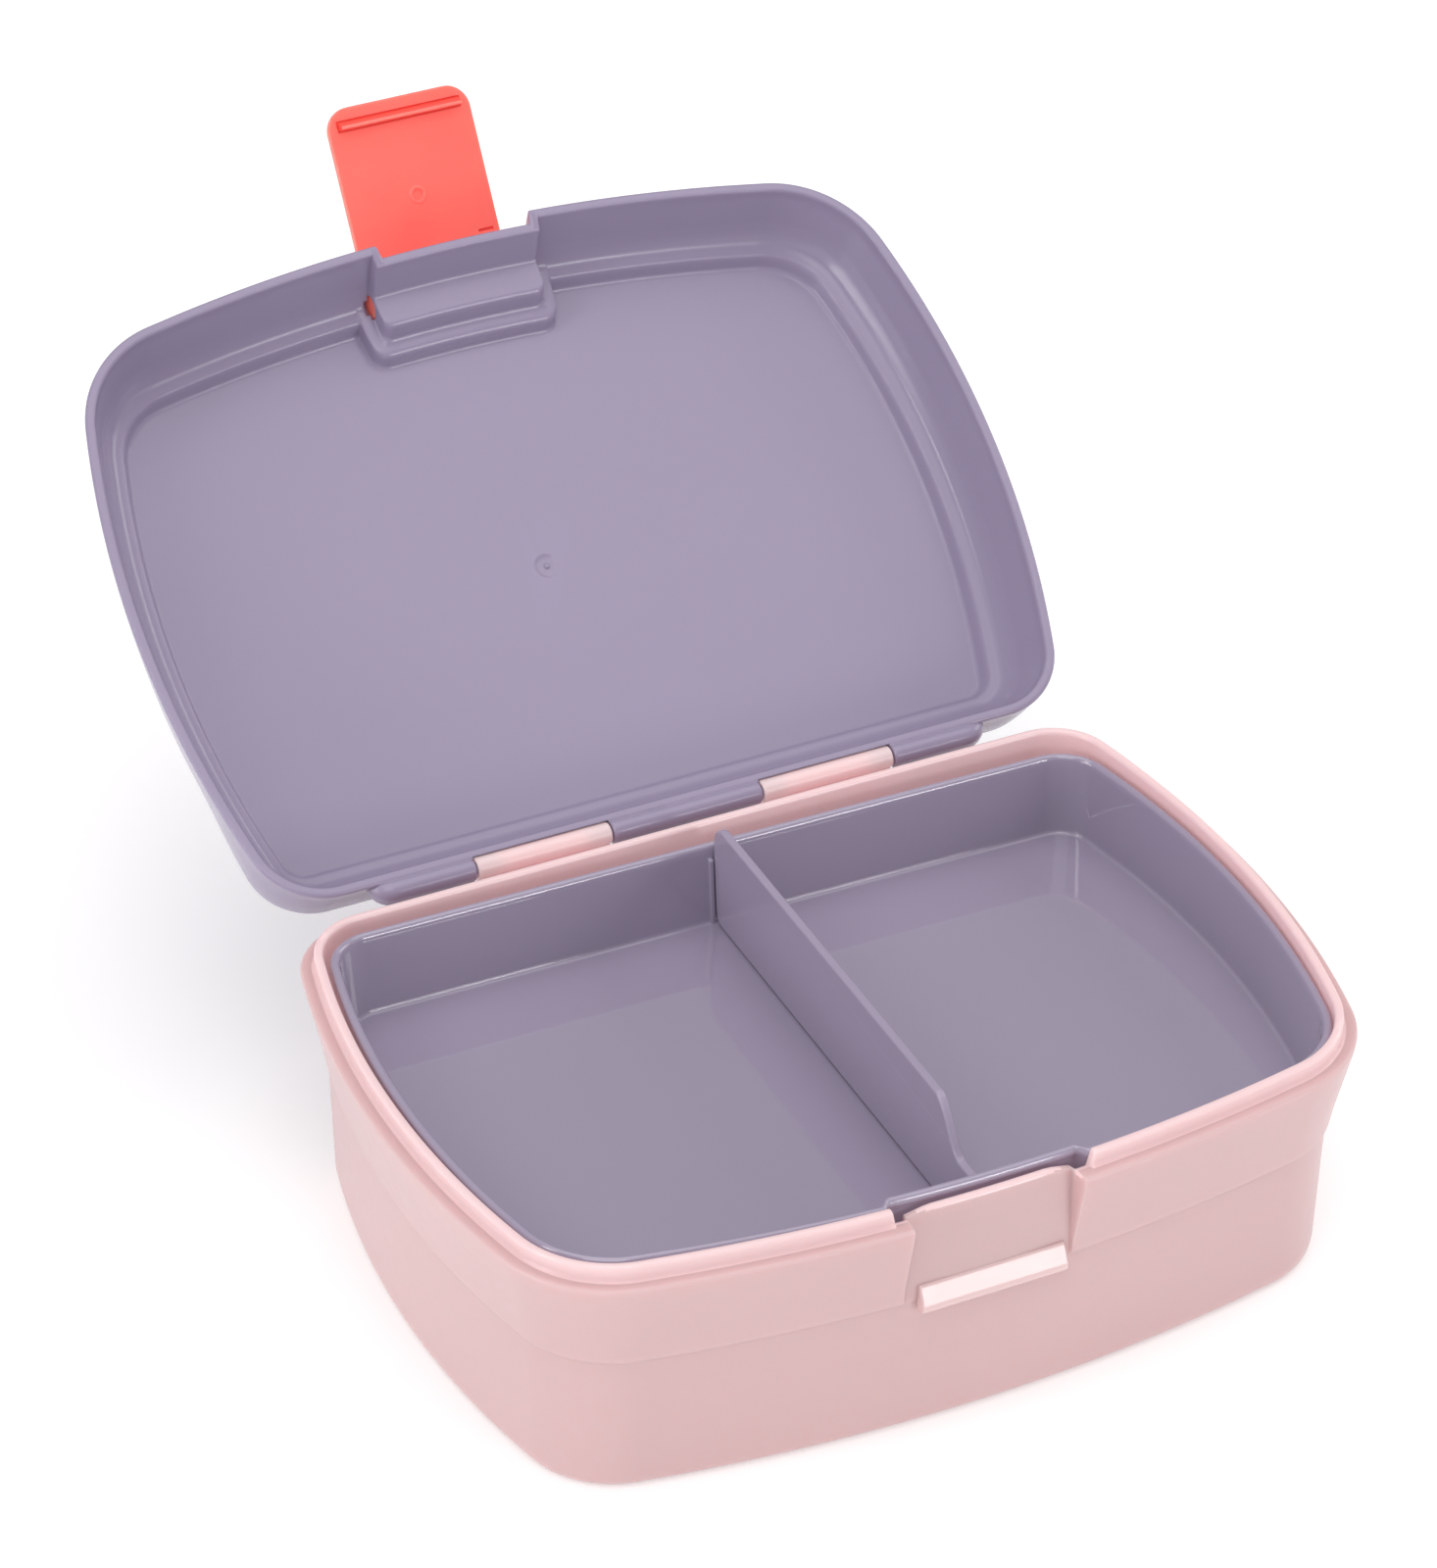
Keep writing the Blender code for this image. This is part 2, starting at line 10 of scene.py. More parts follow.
import bmesh
import bpy
from mathutils import Matrix, Vector


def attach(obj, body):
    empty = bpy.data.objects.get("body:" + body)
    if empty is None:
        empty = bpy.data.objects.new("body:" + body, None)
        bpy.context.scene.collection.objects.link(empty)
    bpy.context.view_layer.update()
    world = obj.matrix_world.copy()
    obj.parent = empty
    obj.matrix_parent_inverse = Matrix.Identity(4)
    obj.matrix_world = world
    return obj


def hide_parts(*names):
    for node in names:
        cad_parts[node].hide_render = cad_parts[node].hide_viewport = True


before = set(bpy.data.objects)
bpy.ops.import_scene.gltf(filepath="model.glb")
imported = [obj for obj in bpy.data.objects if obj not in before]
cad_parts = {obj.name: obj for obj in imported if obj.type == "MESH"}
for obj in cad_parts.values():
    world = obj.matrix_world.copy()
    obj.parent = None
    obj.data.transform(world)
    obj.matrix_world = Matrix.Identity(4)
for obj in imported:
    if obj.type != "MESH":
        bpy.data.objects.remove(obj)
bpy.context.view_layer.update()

MM = 0.001
# A distance from the middle of the front that is past everything there.
FAR = 1000.0
# How far the corners of a wall's section are eased.
SECTION_EASE = 2.2

# Plan outline at the parting line. The lid reaches LID_BACK_SHIFT further at the hinge side.
HALF_WIDTH = 85.0
HALF_DEPTH = 59.4
SIDE_RADIUS = 181.0
SIDE_CENTRE_Y = 5.9
FRONT_RADIUS = 333.0
BACK_RADIUS = 30000.0
FRONT_CORNER = 22.6
BACK_CORNER = 14.1
LID_BACK_SHIFT = 1.45
# Between these distances behind the middle, a body's hinge side takes over from its plain section.
BACK_FADE = (30.0, 54.0)
# Points on each of the outline's arcs.
FRONT_CORNER_STEPS = 26
SIDE_STEPS = 36
BACK_CORNER_STEPS = 22
BACK_STEPS = 24

# Hinge. Axes are (y, z), and the lid opens about HINGE.
HINGE = (62.0, 48.8)
KNUCKLE_RADIUS = 2.0
KNUCKLE_EASE = 0.4
SCOOP_RADIUS = 2.3
SCOOP_GAP = 0.06
BORE_RADIUS = 1.35
STUB_RADIUS = 1.05
STUB_LENGTH = 3.9
STUB_PLAY = 0.7
KNUCKLE_INNER = 14.85
KNUCKLE_OUTER = 41.15
HINGE_END = 61.0
HALF_GAP = 0.15
LID_OPEN_DEG = 146.7

# Latch. The flap opens about PIVOT. Its left pin has a head in a recess, and its right hole is blind.
PIVOT = (-52.2, 58.8)
LATCH_OPEN_DEG = 66.4
LATCH_HALF_WIDTH = 14.3
FLAP_INNER_Y = -58.3
FLAP_OUTER_Y = -59.8
FLAP_TIP_Z = 21.66
FLAP_EDGE = 0.35
FLAP_CORNER = 4.6
BEND_OUTER = 2.0
BEND_INNER = 0.5
BARREL_RADIUS = 1.45
PIVOT_PIN_RADIUS = 1.05
PIVOT_PIN_ENDS = (-16.4, 15.7)
PIVOT_HOLE_RADIUS = 1.4
PIVOT_HOLES = ((-17.7, -14.0), (14.0, 15.9))
PIN_HEAD_RADIUS = 2.2
PIN_HEAD_ENDS = (-16.5, -15.9)
HEAD_RECESS_ENDS = (-16.85, -15.6)
HEAD_PLAY = 0.25

# Tray and divider.
TRAY_HALF_WIDTH = 80.5
TRAY_HALF_DEPTH = 53.65
TRAY_SHIFT_Y = -1.25
DIVIDER_X = 0.7
DIVIDER_THICKNESS = 1.6

# Colours.
PINK = (0.63, 0.43, 0.435)
# Painted light: a lighter pink, which also glows, for the tub's inside, lip and knuckles.
PINK_PAINTED_LIGHT = (0.74, 0.515, 0.525)
# Painted highlight: a paler pink for the catch bar's glossy faces.
PINK_CATCH_HIGHLIGHT = (0.72, 0.53, 0.53)
LILAC = (0.295, 0.25, 0.362)
LILAC_TRAY = (0.335, 0.287, 0.39)
# The coral is given a painted glow in add_latch, which stands in for the light the flap passes.
CORAL = (1.0, 0.165, 0.135)
# Painted shade: a deeper coral for the flap's hollows and the ridge's flanks.
CORAL_SHADED = (0.86, 0.075, 0.055)

# How the camera stands: degrees, and metres from the point it faces.
CAMERA_AZIMUTH = -26.08
CAMERA_ELEVATION = 35.04
CAMERA_ROLL = 0.54
CAMERA_DISTANCE = 1.131
CAMERA_TARGET = (0.01468, 0.07848, 0.040)
CAMERA_LENS = 142.4

# The floor is a round slab, in millimetres.
FLOOR_RADIUS = 3000.0
FLOOR_Z = (-12.0, -0.02)


# Plain geometry.

def mix(a, b, share):
    """The point a share of the way from a to b."""
    return tuple(p + (q - p) * share for p, q in zip(a, b))


def blend(value, start, end):
    """A smooth step from 1 at start down to 0 at end."""
    share = min(max((value - start) / (end - start), 0.0), 1.0)
    return 1.0 - share * share * (3.0 - 2.0 * share)


def arc(centre, radius, start, end, steps):
    """Points along an arc, without its last point."""
    points = []
    for step in range(steps):
        angle = start + (end - start) * step / steps
        points.append((centre[0] + radius * math.cos(angle), centre[1] + radius * math.sin(angle)))
    return points


def eased_corner(before, corner, after, reach, steps):
    """A short curve that takes the place of a corner."""
    back = max(math.dist(before, corner), 1e-6)
    ahead = max(math.dist(corner, after), 1e-6)
    cut = min(reach, 0.46 * back, 0.46 * ahead)
    start = mix(corner, before, cut / back)
    end = mix(corner, after, cut / ahead)
    curve = []
    for step in range(steps + 1):
        share = step / steps
        curve.append(mix(mix(start, corner, share), mix(corner, end, share), share))
    return curve


def eased_line(points, reach, steps=4):
    """An open line with its inner corners eased."""
    line = [points[0]]
    for before, corner, after in zip(points, points[1:], points[2:]):
        line += eased_corner(before, corner, after, reach, steps)
    return line + [points[-1]]


def eased_loop(points, reach, steps=3):
    """A closed line with its corners eased."""
    loop = []
    for index, corner in enumerate(points):
        after = points[(index + 1) % len(points)]
        loop += eased_corner(points[index - 1], corner, after, reach, steps)
    return loop


def circle_meet(centre_a, radius_a, centre_b, radius_b, side):
    """The point at two given distances from two centres, furthest towards side."""
    span_x = centre_b[0] - centre_a[0]
    span_y = centre_b[1] - centre_a[1]
    span = math.hypot(span_x, span_y)
    along = (radius_a ** 2 - radius_b ** 2 + span ** 2) / (2 * span)
    across = math.sqrt(radius_a ** 2 - along ** 2)
    unit = (span_x / span, span_y / span)
    foot = (centre_a[0] + unit[0] * along, centre_a[1] + unit[1] * along)
    choices = []
    for sign in (-1, 1):
        choices.append((foot[0] - sign * unit[1] * across, foot[1] + sign * unit[0] * across))
    return max(choices, key=lambda point: point[0] + side * point[1])


def spaced(stops):
    """Numbers from the first stop to the last. Each stop is (value, spacing that follows it)."""
    values = []
    for (start, spacing), (end, _) in zip(stops, stops[1:]):
        steps = max(1, round((end - start) / spacing))
        values += [start + (end - start) * step / steps for step in range(steps)]
    return values + [stops[-1][0]]


class Outline:
    """A bowed rectangle of tangent arcs, whose parallel offsets share its centres.

    columns are the X places of its points along the front, from the middle to the right.
    """

    def __init__(self, half_width, half_depth, columns, back_shift=0.0):
        trim = HALF_WIDTH - half_width
        self.columns = columns
        self.front_radius = FRONT_RADIUS - trim
        self.side_radius = SIDE_RADIUS - trim
        self.back_radius = BACK_RADIUS - trim
        self.front_corner = FRONT_CORNER - trim
        self.back_corner = BACK_CORNER - trim
        self.front_centre = (0.0, self.front_radius - half_depth)
        self.back_centre = (0.0, half_depth + back_shift - self.back_radius)
        self.side_centre = (half_width - self.side_radius, SIDE_CENTRE_Y)
        self.front_fillet = circle_meet(
            self.side_centre, self.side_radius - self.front_corner,
            self.front_centre, self.front_radius - self.front_corner, -1)
        self.back_fillet = circle_meet(
            self.side_centre, self.side_radius - self.back_corner,
            self.back_centre, self.back_radius - self.back_corner, 1)

    def front_y(self, x, inset):
        """Y of the front edge's parallel offset at a given X."""
        radius = self.front_radius - inset
        return self.front_centre[1] - math.sqrt(radius ** 2 - x ** 2)

    def loop(self, inset):
        """The offset outline, anticlockwise from above, from the middle of the front."""
        def angle_from(centre, point):
            return math.atan2(point[1] - centre[1], point[0] - centre[0])

        front_end = angle_from(self.front_centre, self.front_fillet)
        side_start = angle_from(self.side_centre, self.front_fillet)
        side_end = angle_from(self.side_centre, self.back_fillet)
        back_start = angle_from(self.back_centre, self.back_fillet)
        right = [(x, self.front_y(x, inset)) for x in self.columns]
        right += arc(self.front_fillet, self.front_corner - inset, front_end, side_start,
                     FRONT_CORNER_STEPS)
        right += arc(self.side_centre, self.side_radius - inset, side_start, side_end, SIDE_STEPS)
        right += arc(self.back_fillet, self.back_corner - inset, side_end, back_start,
                     BACK_CORNER_STEPS)
        right += arc(self.back_centre, self.back_radius - inset, back_start, math.pi / 2, BACK_STEPS)
        back_middle = (0.0, self.back_centre[1] + self.back_radius - inset)
        left = [(-x, y) for x, y in reversed(right[1:])]
        return right + [back_middle] + left


# Meshes.

def shell(outline, section, shift_y=0.0, back=None):
    """A closed body. section(distance from the middle of the front) gives its (inset, z) line.

    back is the line at the hinge side, where that differs.
    """
    lines = [section(column) for column in outline.columns]
    rings = []
    for index, (base_inset, base_z) in enumerate(section(FAR)):
        points = [(x, y, base_z) for x, y in outline.loop(base_inset)]
        if back is not None:
            rear = [(x, y, back[index][1]) for x, y in outline.loop(back[index][0])]
            points = [mix(b, a, blend(a[1], *BACK_FADE)) for a, b in zip(points, rear)]
        for place, column in enumerate(outline.columns):
            inset, z = lines[place][index]
            y = outline.front_y(column, inset)
            points[place] = (column, y, z)
            if place:
                points[-place] = (-column, y, z)
        rings.append([(x, y + shift_y, z) for x, y, z in points])
    return loft(rings)


def loft(rings):
    """A closed body through rings of points, capped at both ends."""
    mesh = bmesh.new()
    rows = [[mesh.verts.new([c * MM for c in point]) for point in points] for points in rings]
    count = len(rows[0])
    for lower, upper in zip(rows, rows[1:]):
        for index in range(count):
            after = (index + 1) % count
            mesh.faces.new((lower[index], lower[after], upper[after], upper[index]))
    mesh.faces.new(list(reversed(rows[0])))
    mesh.faces.new(rows[-1])
    bmesh.ops.remove_doubles(mesh, verts=mesh.verts[:], dist=1e-7)
    bmesh.ops.recalc_face_normals(mesh, faces=mesh.faces[:])
    return mesh


def inset_loop(points, distance):
    """A closed line moved inwards. The line runs anticlockwise."""
    moved = []
    for index, (u, v) in enumerate(points):
        before = points[index - 1]
        after = points[(index + 1) % len(points)]
        normals = []
        for (u0, v0), (u1, v1) in ((before, (u, v)), ((u, v), after)):
            length = max(math.hypot(u1 - u0, v1 - v0), 1e-9)
            normals.append(((v0 - v1) / length, (u1 - u0) / length))
        sum_u = normals[0][0] + normals[1][0]
        sum_v = normals[0][1] + normals[1][1]
        scale = 2.0 / max(sum_u ** 2 + sum_v ** 2, 1.0)
        moved.append((u + sum_u * scale * distance, v + sum_v * scale * distance))
    return moved


def end_stations(low, high, ease, pieces, steps=4):
    """(place, inset) pairs along a bar whose ends are rounded by ease."""
    start = []
    for step in range(steps if ease else 0):
        angle = math.pi / 2 * step / steps
        start.append((low + ease * (1 - math.cos(angle)), ease * (1 - math.sin(angle))))
    finish = [(low + high - place, inset) for place, inset in reversed(start)]
    middle = spaced(((low + ease, (high - low - 2 * ease) / pieces), (high - ease, 1.0)))
    return start + [(place, 0.0) for place in middle] + finish


def prism(profile, x_low, x_high, ease=0.0, pieces=1):
    """A (y, z) outline extruded along X, with rounded ends where ease is given."""
    area = sum(a[0] * b[1] - b[0] * a[1] for a, b in zip(profile, profile[1:] + profile[:1]))
    if area < 0:
        profile = list(reversed(profile))
    stations = end_stations(x_low, x_high, ease, pieces)
    rings = []
    for x, inset in stations:
        rings.append([(x, y, z) for y, z in inset_loop(profile, inset)])
    return loft(rings)


def rod(y, z, x_low, x_high, radius, ease=0.0, pieces=1):
    """A round bar along X."""
    circle = arc((y, z), radius, 0.0, 2 * math.pi, 48)
    return prism(circle, x_low, x_high, ease, pieces)


def disc(x, y, stations):
    """A body turned about a vertical line. stations are (radius, z) pairs."""
    return loft([[(u, v, z) for u, v in arc((x, y), radius, 0.0, 2 * math.pi, 40)]
                 for radius, z in stations])


def new_object(name, mesh):
    """Turn a bmesh into an object in the scene."""
    data = bpy.data.meshes.new(name)
    mesh.to_mesh(data)
    mesh.free()
    obj = bpy.data.objects.new(name, data)
    bpy.context.scene.collection.objects.link(obj)
    return obj


def combine(obj, meshes, operation):
    """Boolean a list of meshes into an object and keep only the result."""
    for mesh in meshes:
        tool = new_object("tool", mesh)
        change = obj.modifiers.new("change", "BOOLEAN")
        change.object = tool
        change.operation = operation
        change.solver = "EXACT"
        depsgraph = bpy.context.evaluated_depsgraph_get()
        result = bpy.data.meshes.new_from_object(obj.evaluated_get(depsgraph))
        obj.modifiers.clear()
        obj.data = result
        bpy.data.objects.remove(tool)


def joined(meshes):
    """One mesh from several that overlap."""
    obj = new_object("part", meshes[0])
    combine(obj, meshes[1:], "UNION")
    mesh = bmesh.new()
    mesh.from_mesh(obj.data)
    bpy.data.objects.remove(obj)
    return mesh


def about_x(centre, degrees):
    """A turn about a line along X through (y, z) in millimetres."""
    place = Matrix.Translation((0.0, centre[0] * MM, centre[1] * MM))
    return place @ Matrix.Rotation(math.radians(degrees), 4, "X") @ place.inverted()


def paint(obj, chosen, material):
    """Give some faces a finish of their own. chosen takes a face's centre, in mm, and its normal."""
    obj.data.materials.append(material)
    for face in obj.data.polygons:
        if chosen(face.center / MM, face.normal):
            face.material_index = len(obj.data.materials) - 1


def finish_piece(obj, body, material, opening=None):
    """Place a piece, smooth it, give it its finish and tie it to its CAD body."""
    if opening is not None:
        obj.data.transform(opening)
    obj.data.materials.clear()
    obj.data.materials.append(material)
    obj.data.shade_smooth()
    obj.data.set_sharp_from_angle(angle=math.radians(40.0))
    weigh = obj.modifiers.new("even_normals", "WEIGHTED_NORMAL")
    weigh.keep_sharp = True
    weigh.weight = 60
    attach(obj, body)
    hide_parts(body)


# Tub.

TUB_WALL = ((10.6, 0.45), (10.0, 0.4), (9.5, 0.0), (7.4, 0.0), (6.1, 0.4), (5.3, 1.4), (5.0, 3.0),
            (4.25, 28.3))
TUB_FLARE = ((3.55, 28.8), (3.0, 32.2), (1.55, 39.0), (0.3, 44.6))
# (inset, z) at the lip, (inset, z) where the lip stops, (inset, height over the arch) in the recess.
TUB_TOP = (
    ((0.0, 46.35), (0.0, 46.35), (4.0, -1.2)),
    ((0.15, 46.75), (0.15, 46.75), (4.1, -0.6)),
    ((0.55, 46.9), (0.55, 46.9), (4.3, -0.25)),
    ((2.5, 46.9), (2.4, 46.85), (4.5, -0.08)),
    ((2.5, 49.5), (2.9, 46.8), (4.7, 0.0)),
    ((2.65, 49.85), (3.3, 46.7), (4.9, 0.0)),
    ((3.0, 50.0), (3.6, 46.55), (5.1, 0.0)),
    ((3.75, 50.0), (3.9, 46.4), (5.4, -0.08)),
    ((4.1, 49.5), (4.3, 46.1), (5.7, -0.35)),
    ((4.1, 45.8), (4.4, 45.6), (5.9, -1.3)),
)
TUB_INSIDE = ((5.7, 33.0), (5.8, 30.9), (8.0, 30.9), (8.4, 4.6), (9.0, 3.0), (10.8, 2.2))
BACK_LIP_RISE = 0.4
BACK_LIP_Z = (47.4, 49.0)
# The latch recess: its depth, its arched top, and the distances over which its features end.
PANEL_INSET = 4.0
ARCH_TOP = 47.45
ARCH_DROP = 1.1
RECESS_EDGE = (15.3, 15.9)
LIP_EDGE = (17.9, 18.9)
ARCH_EDGE = (10.5, 16.6)
# The catch bar in the recess and the box of its faces that are painted paler as a painted highlight,
# the hinge knuckles' web, and where the inside and the lip begin, from which faces are painted a
# lighter, glowing pink as painted light.
BAR_ENDS = (-13.0, 14.3)
BAR_OUTLINE = ((-54.3, 31.8), (-55.5, 31.7), (-55.8, 31.4), (-57.3, 28.2), (-57.4, 27.5),
               (-57.0, 26.8), (-56.6, 26.5), (-54.3, 26.5))
BAR_FACE_Y = (-57.6, -55.45)
BAR_FACE_Z = (26.4, 31.75)
TUB_WEB = ((57.5, 40.5), (58.8, 40.9), (60.6, 42.6), (63.6, 47.2), (63.0, 48.8),
           (61.6, 48.6), (60.7, 46.85), (57.5, 46.5))
LIP_START_Z = 46.95
FLOOR_START_Z = 2.0


def tub_section(distance):
    """The tub's wall in section: outside, lip and inside."""
    recessed = blend(distance, *RECESS_EDGE)
    lip_gone = blend(distance, *LIP_EDGE)
    arch = ARCH_TOP - ARCH_DROP * (1.0 - blend(distance, *ARCH_EDGE))
    line = list(TUB_WALL)
    line += [mix(point, (PANEL_INSET, point[1]), recessed) for point in TUB_FLARE]
    for lip, shoulder, panel in TUB_TOP:
        wall = mix(lip, shoulder, lip_gone)
        line.append(mix(wall, (panel[0], arch + panel[1]), recessed))
    line += TUB_INSIDE
    return eased_line(line, SECTION_EASE)


def tub_back():
    """The tub's wall in section at the hinge side, where the lip stands a little higher."""
    return [(inset, z + BACK_LIP_RISE * (1.0 - blend(z, *BACK_LIP_Z))) for inset, z in tub_section(FAR)]


def on_catch(centre, normal):
    """Whether a face is part of the catch bar, which is painted paler as a painted highlight."""
    along = BAR_ENDS[0] - 0.1 < centre.x < BAR_ENDS[1] + 0.1
    across = BAR_FACE_Y[0] < centre.y < BAR_FACE_Y[1]
    return along and across and BAR_FACE_Z[0] < centre.z < BAR_FACE_Z[1]


def on_smooth_lit_part(centre, normal):
    """Whether a face is inside the tub, on its lip or on a hinge knuckle: the faces painted a lighter,
    glowing pink as painted light.
    """
    if centre.z > LIP_START_Z or centre.y > HALF_DEPTH + 0.1:
        return True
    inwards = normal.x * centre.x + normal.y * centre.y < -10.0
    return centre.z > FLOOR_START_Z and inwards


def build_tub():
    """The tub with its catch bar, its two hinge knuckles and their bores.

    Its columns are closest where the latch recess and the lip end.
    """
    columns = spaced(((0.0, 1.5), (15.0, 0.1), (16.1, 0.3), (17.8, 0.1), (19.1, 1.5), (55.0, 1.0)))
    outline = Outline(HALF_WIDTH, HALF_DEPTH, columns)
    tub = new_object("tub_shell", shell(outline, tub_section, back=tub_back()))
    web = eased_loop(TUB_WEB, 0.8)
    parts = [prism(eased_loop(BAR_OUTLINE, 0.3), *BAR_ENDS, 0.25)]
    bores = []
    low = KNUCKLE_INNER + HALF_GAP
    high = KNUCKLE_OUTER - HALF_GAP
    for side in (-1, 1):
        ends = sorted((side * low, side * high))
        barrel = rod(*HINGE, *ends, KNUCKLE_RADIUS, KNUCKLE_EASE)
        parts.append(joined([barrel, prism(web, ends[0] + KNUCKLE_EASE, ends[1] - KNUCKLE_EASE)]))
        depth = STUB_LENGTH + STUB_PLAY
        bores.append(rod(*HINGE, ends[0] - 1.0, ends[0] + depth, BORE_RADIUS))
        bores.append(rod(*HINGE, ends[1] - depth, ends[1] + 1.0, BORE_RADIUS))
    combine(tub, parts, "UNION")
    combine(tub, bores, "DIFFERENCE")
    return tub


# Lid. The latch pocket's parts end between these two distances from the middle.
POCKET_LEDGE = (18.6, 19.3)
POCKET_STEP = (14.5, 19.0)
POCKET_INNER = (16.3, 16.7)
POCKET_OUTER = (14.7, 15.5)
# Rounded corners: the rows that have one, and its radius.
LEDGE_CORNER = (range(0, 5), 3.2)
POCKET_CORNER = (range(5, 8), 2.0)
# Insets of the outer wall at the hinge side, by its row in LID_ROWS.
LID_BACK = {15: 0.3, 16: 0.8, 17: 1.4, 18: 1.9, 19: 2.9, 20: 4.9}
# The end knuckles are rounded over END_ROUND, towards the point END_ANCHOR in the lid's wall, down
# to a share END_KEPT of their size. Knuckles are cut into END_PIECES along X, so that they can be.
END_ROUND = 4.6
END_ANCHOR = (59.5, 50.0)
END_KEPT = 0.08
END_PIECES = 24
LID_WEB = ((59.0, 47.8), (60.6, 47.3), (62.0, 47.0), (63.6, 47.6), (64.1, 49.0),
           (64.1, 50.9), (60.0, 51.7), (58.9, 51.2))
# The dimple with a nub that the mould's gate leaves, as (radius, z) about its middle.
GATE = (-1.5, 4.4)
GATE_DIMPLE = ((1.2, 63.05), (1.9, 63.0), (2.3, 62.9), (2.5, 62.79), (2.55, 62.0))
GATE_NUB = ((0.15, 62.7), (0.4, 62.75), (0.5, 62.9), (0.5, 63.5))
# Rows are (inset, z), then (y, z) in the latch pocket, then where the pocket ends.
LID_ROWS = (
    ((10.8, 62.8), (-41.0, 62.8), POCKET_LEDGE), ((10.0, 62.3), (-41.7, 62.3), POCKET_LEDGE),
    ((9.3, 60.4), (-42.2, 60.4), POCKET_LEDGE), ((8.8, 59.6), (-42.9, 59.6), POCKET_LEDGE),
    ((7.6, 59.4), (-44.7, 59.4), POCKET_LEDGE),
    ((6.6, 58.9), (-45.4, 58.9), POCKET_INNER), ((5.6, 57.6), (-46.2, 56.4), POCKET_INNER),
    ((5.1, 56.8), (-46.9, 55.6), POCKET_INNER), ((4.9, 56.4), (-52.4, 55.6), POCKET_INNER),
    ((4.3, 55.2), (-53.0, 55.0), POCKET_INNER), ((2.2, 49.2), (-54.9, 49.5), POCKET_INNER),
    ((1.9, 47.6), (-55.1, 48.4), POCKET_INNER), ((1.6, 47.2), (-55.4, 48.0), POCKET_INNER),
    ((0.4, 47.2), (-56.7, 48.0), POCKET_OUTER), ((0.0, 47.6), (-57.0, 48.4), POCKET_OUTER),
    ((0.4, 49.5), (-56.9, 50.0), POCKET_OUTER), ((1.9, 54.5), (-55.6, 55.4), POCKET_OUTER),
    ((3.0, 58.0), (-55.2, 56.6), POCKET_OUTER), ((3.5, 59.6), (-54.8, 57.0), POCKET_OUTER),
    ((4.3, 61.0), (-48.6, 57.0), POCKET_OUTER), ((5.6, 61.5), (-48.2, 57.5), POCKET_OUTER),
    ((7.0, 61.6), (-48.0, 61.2), POCKET_OUTER), ((7.4, 61.7), (-47.7, 61.6), POCKET_OUTER),
    ((7.8, 62.2), (-43.4, 61.8), POCKET_STEP), ((8.2, 64.0), (-42.9, 64.2), POCKET_STEP),
    ((9.0, 64.8), (-42.2, 64.8), POCKET_STEP), ((10.5, 65.0), (-41.0, 65.0), POCKET_STEP),
)


def lid_section(distance):
    """The lid's wall in section, from the inside over the rim to the top."""
    line = []
    for index, (plain, pocket, (start, end)) in enumerate(LID_ROWS):
        inset = pocket[0] + HALF_DEPTH
        for rows, corner in (LEDGE_CORNER, POCKET_CORNER):
            if index in rows:
                reach = min(max(distance - start + corner, 0.0), corner)
                inset -= corner - math.sqrt(corner ** 2 - reach ** 2)
        line.append(mix(plain, (inset, pocket[1]), blend(distance, start, end)))
    return eased_line(line, SECTION_EASE)


def lid_back():
    """The lid's wall in section at the hinge side, where its outer face is steeper."""
    line = []
    for index, (plain, _, _) in enumerate(LID_ROWS):
        line.append((LID_BACK.get(index, plain[0]), plain[1]))
    return eased_line(line, SECTION_EASE)


def round_off(mesh, side):
    """Draw the outer end of an end knuckle in towards the lid's wall. side is -1 or 1."""
    start = HINGE_END - END_ROUND
    for vertex in mesh.verts:
        reach = (side * vertex.co.x / MM - start) / END_ROUND
        if reach > 0:
            kept = math.sqrt(max(1.0 - reach ** 2, 0.0)) * (1.0 - END_KEPT) + END_KEPT
            for axis, anchor in zip((1, 2), END_ANCHOR):
                vertex.co[axis] = anchor * MM + (vertex.co[axis] - anchor * MM) * kept
    return mesh


